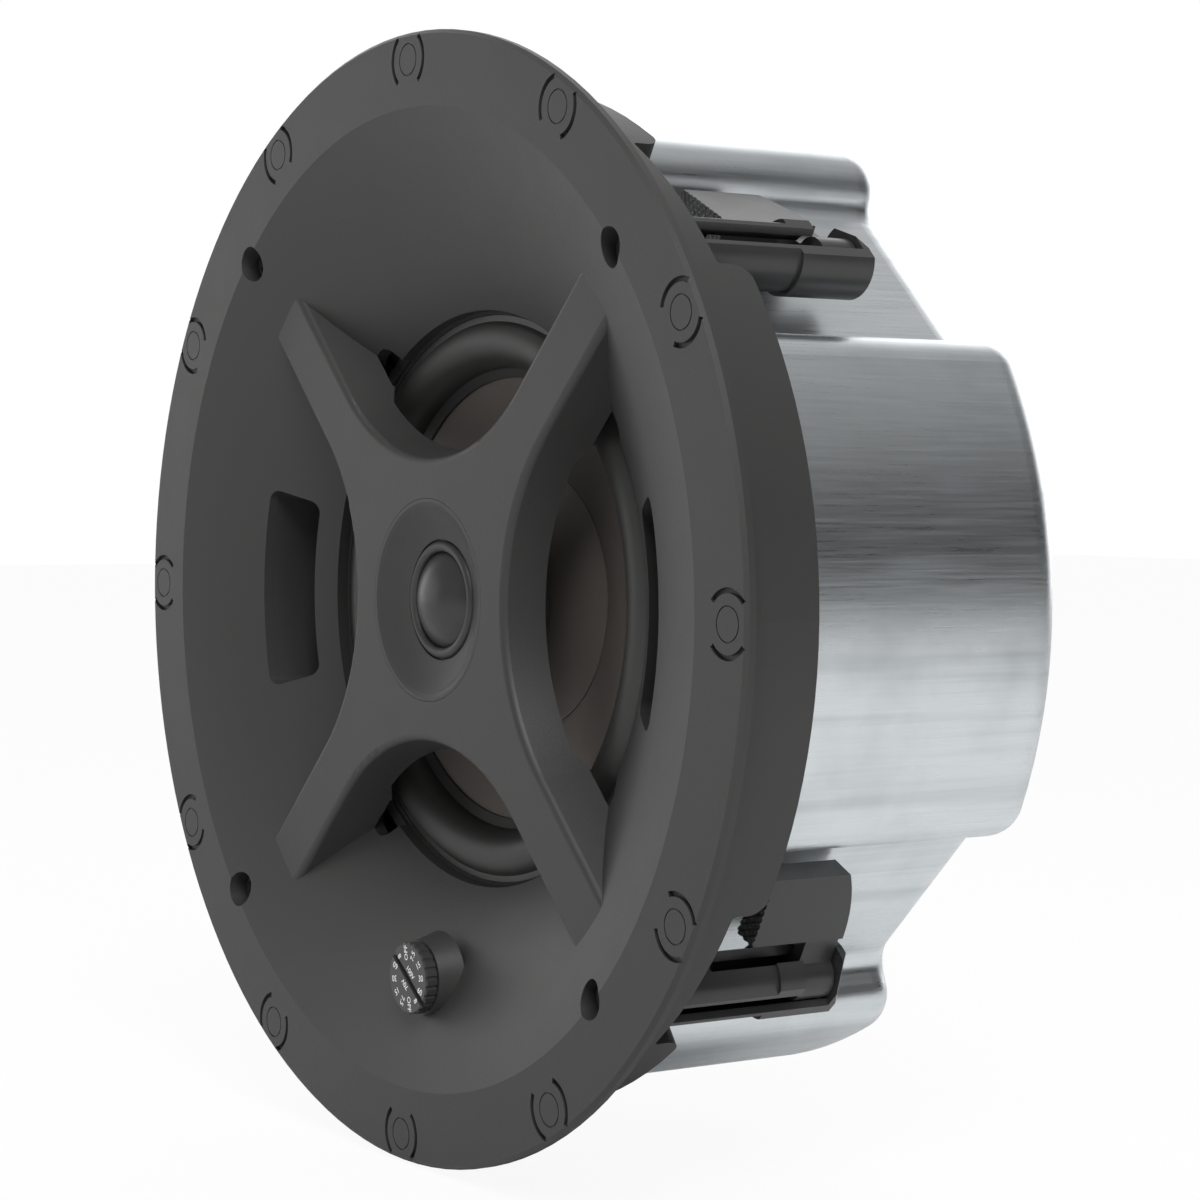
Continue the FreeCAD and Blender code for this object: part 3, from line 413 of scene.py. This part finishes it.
@dataclass(frozen=True)
class PressedPulp(Finish):
    """Mineral-filled cone material with fine fibres."""

    fibre_mm: float = 0.6
    fibre_depth_mm: float = 0.05

    def paint(self, shader: Shader) -> None:
        """Add short fibres to the plain finish."""
        super().paint(shader)
        shader.relief(shader.noise(self.fibre_mm, detail=4.0), self.fibre_depth_mm)


@dataclass(frozen=True)
class WoundWire(Finish):
    """Enamelled wire in neat turns."""

    wire_mm: float = 0.5

    def paint(self, shader: Shader) -> None:
        """Add the turns, stacked along the winding.

        Args:
            shader: the material's nodes.
        """
        super().paint(shader)
        _, along, _ = shader.axes()
        turns = (along * (2 * math.pi / self.wire_mm)).sine()
        shader.relief(turns * 0.5 + 0.5, self.wire_mm / 3)


@dataclass(frozen=True)
class WovenCloth(Finish):
    """Treated cloth with a square weave."""

    thread_mm: float = 0.45

    def paint(self, shader: Shader) -> None:
        """Add the weave of warp and weft.

        Args:
            shader: the material's nodes.
        """
        super().paint(shader)
        across, _, up = shader.axes()
        pitch = 2 * math.pi / self.thread_mm
        weave = (across * pitch).sine() * (up * pitch).sine()
        shader.relief(weave * 0.5 + 0.5, self.thread_mm / 4)


@dataclass(frozen=True)
class Laminate(Finish):
    """Circuit laminate with copper tracks under its solder resist."""

    track: Color = (0.09, 0.30, 0.11)
    track_pitch_mm: float = 6.0
    track_edge: Span = (0.2, 0.4)
    bend_every_mm: float = 12.0
    bend_mm: float = 8.0
    slant: float = 0.3

    def paint(self, shader: Shader) -> None:
        """Paint the tracks as lighter bands in the resist.

        Args:
            shader: the material's nodes.
        """
        across, _, up = shader.axes()
        bend = shader.noise(self.bend_every_mm, detail=0.0) * self.bend_mm
        bands = ((across + bend + up * self.slant) * (2 * math.pi / self.track_pitch_mm)).sine()
        shader.set("Base Color", shader.blend(bands.step(*self.track_edge), self.color, self.track))
        shader.set("Roughness", self.roughness)


class Slot(Enum):
    """The record's material slots and the finish that each one gets."""

    CHARCOAL = Grained(
        "charcoal_plastic",
        (0.032, 0.0315, 0.031),
        0.5,
        specular=0.42,
        uneven=0.03,
        grain_mm=0.5,
        grain_depth_mm=0.04,
    )
    CLAMP = Grained("clamp_plastic", (0.030, 0.030, 0.0305), 0.34, uneven=0.05, grain_depth_mm=0.006)
    BLACK = Grained("black_plastic", (0.030, 0.030, 0.031), 0.5)
    DIAL = Grained("dial_plastic", (0.035, 0.035, 0.036), 0.42, grain_depth_mm=0.008)
    ZINC = DrawnSheet("zinc_steel", (0.66, 0.695, 0.71), 0.30, metallic=1.0)
    STEEL = Finish("steel", (0.50, 0.50, 0.49), 0.32, metallic=1.0, patch_mm=2.0)
    NICKEL = Finish("nickel_steel", (0.62, 0.61, 0.58), 0.25, metallic=1.0)
    # Near-black steel; on the clamp screws it also paints the shade of their deep screwdriver holes.
    BLACK_STEEL_AND_HOLE_SHADE = Grained("black_steel", (0.02, 0.02, 0.02), 0.45)
    BRASS = Finish("brass", (0.70, 0.50, 0.24), 0.30, metallic=1.0, patch_mm=3.0)
    RUBBER = Finish("rubber", (0.030, 0.029, 0.028), 0.46, uneven=0.05)
    FOAM = Grained("foam", (0.02, 0.02, 0.02), 0.9, grain_mm=0.8, grain_depth_mm=0.15)
    CLOTH = WovenCloth("cloth", (0.35, 0.22, 0.08), 0.8)
    CONE = PressedPulp("cone_polymer", (0.125, 0.112, 0.102), 0.6, specular=0.35, uneven=0.05)
    DOME = Finish("anodised_dome", (0.045, 0.045, 0.047), 0.36, metallic=0.5, uneven=0.03)
    FERRITE = Grained("ferrite", (0.03, 0.03, 0.032), 0.6, grain_mm=0.5, grain_depth_mm=0.04)
    COPPER = WoundWire("copper_winding", (0.55, 0.22, 0.07), 0.35, metallic=0.7)
    BOARD = Laminate("board", (0.03, 0.16, 0.05), 0.4)
    SLEEVE = Finish("capacitor_sleeve", (0.03, 0.03, 0.05), 0.35)
    INK = Finish("dial_ink", (0.86, 0.86, 0.85), 0.6, uneven=0.02)


class Dresser:
    """Gives the frame's nodes their finishes, one material per slot."""

    def __init__(self, frame: Dict[str, Any]) -> None:
        """Keep the frame's nodes and make no material yet.

        Args:
            frame: the loaded frame.
        """
        self.nodes = frame["nodes"]
        self.materials: Dict[Slot, bpy.types.Material] = {}
        self.dressed: List[str] = []

    def material(self, slot: Slot) -> bpy.types.Material:
        """The slot's material, made on its first use.

        Args:
            slot: the finish.

        Returns:
            The material that all of the slot's pieces share.
        """
        if slot not in self.materials:
            self.materials[slot] = slot.value.material()
        return self.materials[slot]

    def dress(self, slot: Slot, *names: str) -> None:
        """Put a slot's material on CAD nodes.

        Args:
            slot: the finish to use.
            names: the nodes' names.
        """
        for name in names:
            self.paint(self.nodes[name], slot)
            self.dressed.append(name)

    def paint(self, piece: bpy.types.Object, slot: Slot) -> None:
        """Put a slot's material on one piece and report it.

        Args:
            piece: the piece.
            slot: the finish to use.
        """
        piece.data.materials.clear()
        piece.data.materials.append(self.material(slot))
        LOG.info("%s: %s", piece.name, slot.value.name)


@dataclass
class Baffle:
    """Moulded baffle with its port ducts and grille magnets."""

    def dress(self, dresser: Dresser) -> None:
        """Dress the moulding and what is set in it.

        Args:
            dresser: what gives the nodes their finishes.
        """
        dresser.dress(Slot.CHARCOAL, "baffle")
        dresser.dress(Slot.NICKEL, "grille_magnets")
        dresser.dress(Slot.BLACK, "port_duct_right", "port_duct_left")


@dataclass
class BackCan:
    """Drawn steel can with its gasket, screws and cable grommet."""

    def dress(self, dresser: Dresser) -> None:
        """Dress the can and what closes it.

        Args:
            dresser: what gives the nodes their finishes.
        """
        dresser.dress(Slot.ZINC, "back_can")
        dresser.dress(Slot.FOAM, "can_gasket")
        dresser.dress(Slot.STEEL, "can_screws")
        dresser.dress(Slot.RUBBER, "cable_grommet")


@dataclass
class ClampSet:
    """One dog-leg clamp: tower, screw, nut and swinging arm."""

    number: int

    def dress(self, dresser: Dresser) -> None:
        """Dress the clamp's four pieces.

        Args:
            dresser: what gives the nodes their finishes.
        """
        dresser.dress(Slot.CLAMP, f"clamp_tower_{self.number}", f"dog_leg_{self.number}")
        # The clamp screws are near-black: black steel, and painted shade for their deep screwdriver holes.
        dresser.dress(Slot.BLACK_STEEL_AND_HOLE_SHADE, f"clamp_screw_{self.number}")
        dresser.dress(Slot.BRASS, f"clamp_nut_{self.number}")


@dataclass
class Woofer:
    """Cone driver behind the bridge."""

    cap_radius: float = 28.3
    cap_edge_y: float = 30.69
    cap_rise: float = 3.6
    cap_wall: float = 0.6
    cap_rings: int = 14
    cap_segments: int = 96

    def _cap_ring(self, turn: float, wall: float) -> Tuple[float, float]:
        """Radius and depth of one ring of the cap, in millimetres.

        Args:
            turn: share of the way from the middle to the edge.
            wall: distance behind the front surface.

        Returns:
            The ring's radius and depth.
        """
        sphere = (self.cap_radius**2 + self.cap_rise**2) / (2 * self.cap_rise)
        angle = turn * math.asin(self.cap_radius / sphere)
        reach = sphere - wall
        centre_y = self.cap_edge_y - self.cap_rise + sphere
        return reach * math.sin(angle), centre_y - reach * math.cos(angle)

    def build(self) -> bpy.types.Object:
        """Make the cone's dust cap with its glued edge.

        Returns:
            The cap, riding on the cone.
        """
        turns = [index / self.cap_rings for index in range(1, self.cap_rings + 1)]
        rings = [self._cap_ring(turn, 0.0) for turn in turns]
        rings += [self._cap_ring(turn, self.cap_wall) for turn in reversed(turns)]
        middles = [self._cap_ring(0.0, wall) for wall in (0.0, self.cap_wall)]
        points: List[Point] = [(0.0, depth, 0.0) for _, depth in middles]
        count = self.cap_segments
        angles = [2 * math.pi * step / count for step in range(count)]
        for radius, depth in rings:
            points += [(radius * math.cos(angle), depth, radius * math.sin(angle)) for angle in angles]
        # The front starts at the first middle point, runs out, round the rim and in to the second.
        first, last = len(middles), len(middles) + (len(rings) - 1) * count
        faces: List[Tuple[int, ...]] = []
        for step in range(count):
            after = (step + 1) % count
            faces.append((0, first + step, first + after))
            faces.append((1, last + after, last + step))
            for start in range(first, last, count):
                faces.append((start + step, start + count + step, start + count + after, start + after))
        mesh = bpy.data.meshes.new("cone_cap")
        mesh.from_pydata([tuple(measure * MM for measure in point) for point in points], [], faces)
        mesh.shade_smooth()
        # The rim stays crisp where the cap is glued to the cone.
        rim_start = first + (self.cap_rings - 1) * count
        rim = set(range(rim_start, rim_start + 2 * count))
        for edge in mesh.edges:
            edge.use_edge_sharp = set(edge.vertices) <= rim
        piece = bpy.data.objects.new("cone_cap", mesh)
        bpy.context.scene.collection.objects.link(piece)
        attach(piece, "woofer_cone")
        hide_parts("dust_cap")
        return piece

    def dress(self, dresser: Dresser) -> None:
        """Dress the driver from its surround to its magnet.

        Args:
            dresser: what gives the nodes their finishes.
        """
        dresser.paint(self.build(), Slot.CONE)
        dresser.dress(Slot.RUBBER, "woofer_surround")
        dresser.dress(Slot.CONE, "woofer_cone", "dust_cap")
        dresser.dress(Slot.FOAM, "woofer_gasket")
        dresser.dress(Slot.CLOTH, "spider")
        dresser.dress(Slot.COPPER, "voice_coil")
        dresser.dress(Slot.BLACK_STEEL_AND_HOLE_SHADE, "woofer_basket")
        dresser.dress(Slot.FERRITE, "woofer_magnet")
        dresser.dress(Slot.STEEL, "top_plate", "pole_piece", "woofer_screws")


@dataclass
class Tweeter:
    """Dome tweeter in the middle of the bridge."""

    def dress(self, dresser: Dresser) -> None:
        """Dress the tweeter's pieces.

        Args:
            dresser: what gives the nodes their finishes.
        """
        dresser.dress(Slot.CHARCOAL, "tweeter_faceplate")
        dresser.dress(Slot.DOME, "tweeter_dome")
        dresser.dress(Slot.RUBBER, "tweeter_surround")
        dresser.dress(Slot.COPPER, "tweeter_coil")
        dresser.dress(Slot.BLACK, "tweeter_frame", "tweeter_housing")
        dresser.dress(Slot.STEEL, "tweeter_yoke", "tweeter_pole")
        dresser.dress(Slot.NICKEL, "tweeter_magnet")


@dataclass
class Electronics:
    """Line transformer, tap switch and crossover board inside the can."""

    def dress(self, dresser: Dresser) -> None:
        """Dress the parts that the can hides.

        Args:
            dresser: what gives the nodes their finishes.
        """
        dresser.dress(Slot.BLACK, "tap_switch", "board_posts")
        dresser.dress(Slot.STEEL, "transformer_core", "transformer_strap", "strap_screws")
        dresser.dress(Slot.COPPER, "transformer_coil", "crossover_coil")
        dresser.dress(Slot.BOARD, "crossover_board")
        dresser.dress(Slot.SLEEVE, "crossover_capacitors")


@dataclass
class PowerDial:
    """Screwdriver dial with two rings of power settings, one for each line voltage."""

    center_z: float = -81.0
    slot_angle: float = -38.0
    label_radius: float = 5.5
    label_step: float = 30.0
    label_size: float = 1.9
    line_offset: float = 1.75
    line_size: float = 1.75
    lift: float = 0.02
    stroke: float = 0.02
    curve_steps: int = 3
    settings: Tuple[str, ...] = ("8", "OFF", "7.5", "15", "30", "60")
    lines: Tuple[str, str] = ("100V", "70V")
    letters: List[bpy.types.Object] = field(default_factory=list)

    def _letter(self, text: str, radius: float, angle: float, turn: float, size: float) -> None:
        """Set one word on the dial's face.

        Args:
            text: the word.
            radius: distance of its middle from the dial's centre, in millimetres.
            angle: clock angle of its middle, from three o'clock, seen from the front.
            turn: direction in which it reads, as a clock angle.
            size: letter size in millimetres.
        """
        curve = bpy.data.curves.new("label", "FONT")
        curve.body = text
        curve.size = size * MM
        curve.align_x = "CENTER"
        curve.align_y = "CENTER"
        curve.resolution_u = self.curve_steps
        curve.offset = self.stroke * MM
        source = bpy.data.objects.new("label", curve)
        bpy.context.scene.collection.objects.link(source)
        bpy.context.view_layer.update()
        mesh = bpy.data.meshes.new_from_object(source.evaluated_get(bpy.context.evaluated_depsgraph_get()))
        bpy.data.objects.remove(source)
        bearing = math.radians(angle)
        across, up = radius * math.cos(bearing), self.center_z + radius * math.sin(bearing)
        at = Vector((across * MM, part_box("power_dial")[0].y - self.lift * MM, up * MM))
        upright = Matrix.Rotation(math.radians(90), 4, "X")
        mesh.transform(Matrix.Translation(at) @ upright @ Matrix.Rotation(math.radians(turn), 4, "Z"))
        piece = bpy.data.objects.new("label", mesh)
        bpy.context.scene.collection.objects.link(piece)
        self.letters.append(piece)

    def build(self) -> bpy.types.Object:
        """Set all the words and join them into one piece.

        Returns:
            The lettering, riding on the dial.
        """
        half_span = (len(self.settings) - 1) / 2
        for half, line in enumerate(self.lines):
            middle = self.slot_angle + 90 + 180 * half
            self._letter(line, self.line_offset, middle, middle - 90, self.line_size)
            for index, text in enumerate(self.settings):
                angle = middle + self.label_step * (half_span - index)
                self._letter(text, self.label_radius, angle, angle, self.label_size)
        piece = self.letters[0]
        with bpy.context.temp_override(active_object=piece, selected_editable_objects=self.letters):
            bpy.ops.object.join()
        piece.name = "dial_numbers"
        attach(piece, "power_dial")
        return piece

    def dress(self, dresser: Dresser) -> None:
        """Dress the dial and its lettering.

        Args:
            dresser: what gives the nodes their finishes.
        """
        lettering = self.build()
        dresser.dress(Slot.DIAL, "power_dial")
        dresser.paint(lettering, Slot.INK)


@dataclass
class Viewpoint:
    """The photograph's camera."""

    position: Point = (0.55225, -0.33158, 0.02608)
    back: Point = (0.8233, -0.5662, 0.0399)
    up: Point = (-0.0380, 0.0153, 0.9992)
    lens_mm: float = 90.58
    sensor_mm: float = 36.0
    nearest: float = 0.01
    farthest: float = 20.0

    def build(self) -> bpy.types.Object:
        """Make the camera and choose it.

        Returns:
            The camera's object.
        """
        data = bpy.data.cameras.new("camera")
        data.lens = self.lens_mm
        data.sensor_width = self.sensor_mm
        data.clip_start = self.nearest
        data.clip_end = self.farthest
        camera = bpy.data.objects.new("camera", data)
        back = Vector(self.back).normalized()
        right = Vector(self.up).cross(back).normalized()
        up = back.cross(right)
        turn = Matrix((right, up, back)).transposed().to_4x4()
        camera.matrix_world = Matrix.Translation(Vector(self.position)) @ turn
        bpy.context.scene.collection.objects.link(camera)
        bpy.context.scene.camera = camera
        return camera


@dataclass(frozen=True)
class SoftBox:
    """A square studio lamp aimed at the speaker."""

    name: str
    position: Point
    size: float
    power: float

    def build(self, target: Vector) -> bpy.types.Object:
        """Make the lamp.

        Args:
            target: the point that it faces.

        Returns:
            The lamp's object.
        """
        data = bpy.data.lights.new(self.name, "AREA")
        data.size = self.size
        data.energy = self.power
        lamp = bpy.data.objects.new(self.name, data)
        lamp.location = self.position
        lamp.rotation_euler = (target - lamp.location).to_track_quat("-Z", "Y").to_euler()
        bpy.context.scene.collection.objects.link(lamp)
        return lamp


@dataclass
class Studio:
    """Pale floor, soft boxes and the room that metal reflects.

    The room's levels are its brightness from straight below to straight above, and its bright
    screen stands on one side.
    """

    floor_gap: float = 0.0005
    floor_size: float = 8.0
    floor_white: float = 0.8
    floor_roughness: float = 0.9
    floor_specular: float = 0.1
    floor_glow: float = 0.93
    aim: Point = (0.0, 0.03, 0.0)
    room_strength: float = 2.0
    room_levels: Tuple[Span, ...] = (
        (0.0, 0.02),
        (0.5, 0.01),
        (0.62, 0.02),
        (0.72, 0.105),
        (0.84, 0.2),
        (1.0, 0.34),
    )
    screen_side: Point = (-0.82, 0.57, 0.0)
    screen_edge: Span = (0.45, 0.85)
    lamps: Tuple[SoftBox, ...] = (
        SoftBox("key", (-1.9, -1.9, 0.3), 1.4, 8.2),
        SoftBox("graze", (-1.55, -0.45, 0.2), 0.7, 1.4),
        SoftBox("front", (0.0, -1.6, 0.35), 0.9, 1.0),
        SoftBox("top", (1.0, -0.5, 1.1), 0.8, 21.0),
    )

    def build(self, lowest: float) -> None:
        """Set up the floor, the lamps and the sky.

        Args:
            lowest: height of the speaker's lowest point, in metres.
        """
        self._lay_floor(lowest - self.floor_gap)
        for lamp in self.lamps:
            lamp.build(Vector(self.aim))
        self._paint_sky()
        bpy.context.scene.view_settings.view_transform = "Standard"

    def _lay_floor(self, height: float) -> None:
        """Lay a wide floor that reads as white from the camera and keeps a faint shadow.

        Args:
            height: the floor's height in metres.
        """
        half = self.floor_size / 2
        corners = [(-half, -half, height), (half, -half, height), (half, half, height), (-half, half, height)]
        mesh = bpy.data.meshes.new("floor")
        mesh.from_pydata(corners, [], [(0, 1, 2, 3)])
        floor = bpy.data.objects.new("floor", mesh)
        bpy.context.scene.collection.objects.link(floor)
        shader = Shader("floor")
        shader.set("Base Color", (self.floor_white,) * 3)
        shader.set("Roughness", self.floor_roughness)
        shader.set("Specular IOR Level", self.floor_specular)
        seen = shader.node("ShaderNodeLightPath").outputs["Is Camera Ray"]
        glow = shader.node("ShaderNodeEmission", inputs={"Color": WHITE, "Strength": 1.0})
        inputs = {0: Value(shader, seen) * self.floor_glow, 1: shader.surface.outputs[0], 2: glow.outputs[0]}
        mixed = shader.node("ShaderNodeMixShader", inputs=inputs)
        shader.feed(shader.output.inputs["Surface"], mixed.outputs[0])
        mesh.materials.append(shader.material)
        floor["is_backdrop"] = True

    def _paint_sky(self) -> None:
        """Paint a white backdrop, and a soft room for light and reflections."""
        world = bpy.data.worlds.new("studio")
        bpy.context.scene.world = world
        world.use_nodes = True
        sky = Nodes(world.node_tree)
        where = sky.node("ShaderNodeTexCoord").outputs["Generated"]
        up = Value(sky, sky.node("ShaderNodeSeparateXYZ", inputs={0: where}).outputs["Z"])
        stops = [(position, (level,) * 3) for position, level in self.room_levels]
        room = sky.node("ShaderNodeValToRGB", {"stops": stops}, {0: up * 0.5 + 0.5})
        side = sky.node("ShaderNodeVectorMath", {"operation": "DOT_PRODUCT"}, {0: where, 1: self.screen_side})
        screen = Value(sky, side.outputs["Value"]).step(*self.screen_edge)
        lit = sky.blend(screen, room.outputs[0], WHITE)
        light = sky.node("ShaderNodeBackground", inputs={"Color": lit, "Strength": self.room_strength})
        backdrop = sky.node("ShaderNodeBackground", inputs={"Color": WHITE})
        seen = sky.node("ShaderNodeLightPath").outputs["Is Camera Ray"]
        mixed = sky.node("ShaderNodeMixShader", inputs={0: seen, 1: light.outputs[0], 2: backdrop.outputs[0]})
        sky.node("ShaderNodeOutputWorld", inputs={"Surface": mixed.outputs[0]})


def main() -> None:
    """Build and dress the speaker, then its studio."""
    logging.basicConfig(level=logging.INFO, format="%(name)s: %(message)s")
    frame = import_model()
    cad_box = [list(corner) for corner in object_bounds()]
    dresser = Dresser(frame)
    clamps = [ClampSet(number) for number in range(1, 5)]
    for assembly in [PowerDial(), Baffle(), BackCan(), Woofer(), Tweeter(), Electronics(), *clamps]:
        assembly.dress(dresser)
    missing = sorted(set(frame["nodes"]) - set(dresser.dressed))
    LOG.info("nodes without a finish: %s", missing or "none")
    Viewpoint().build()
    Studio().build(cad_box[0][2])


if __name__ == "__main__":
    main()
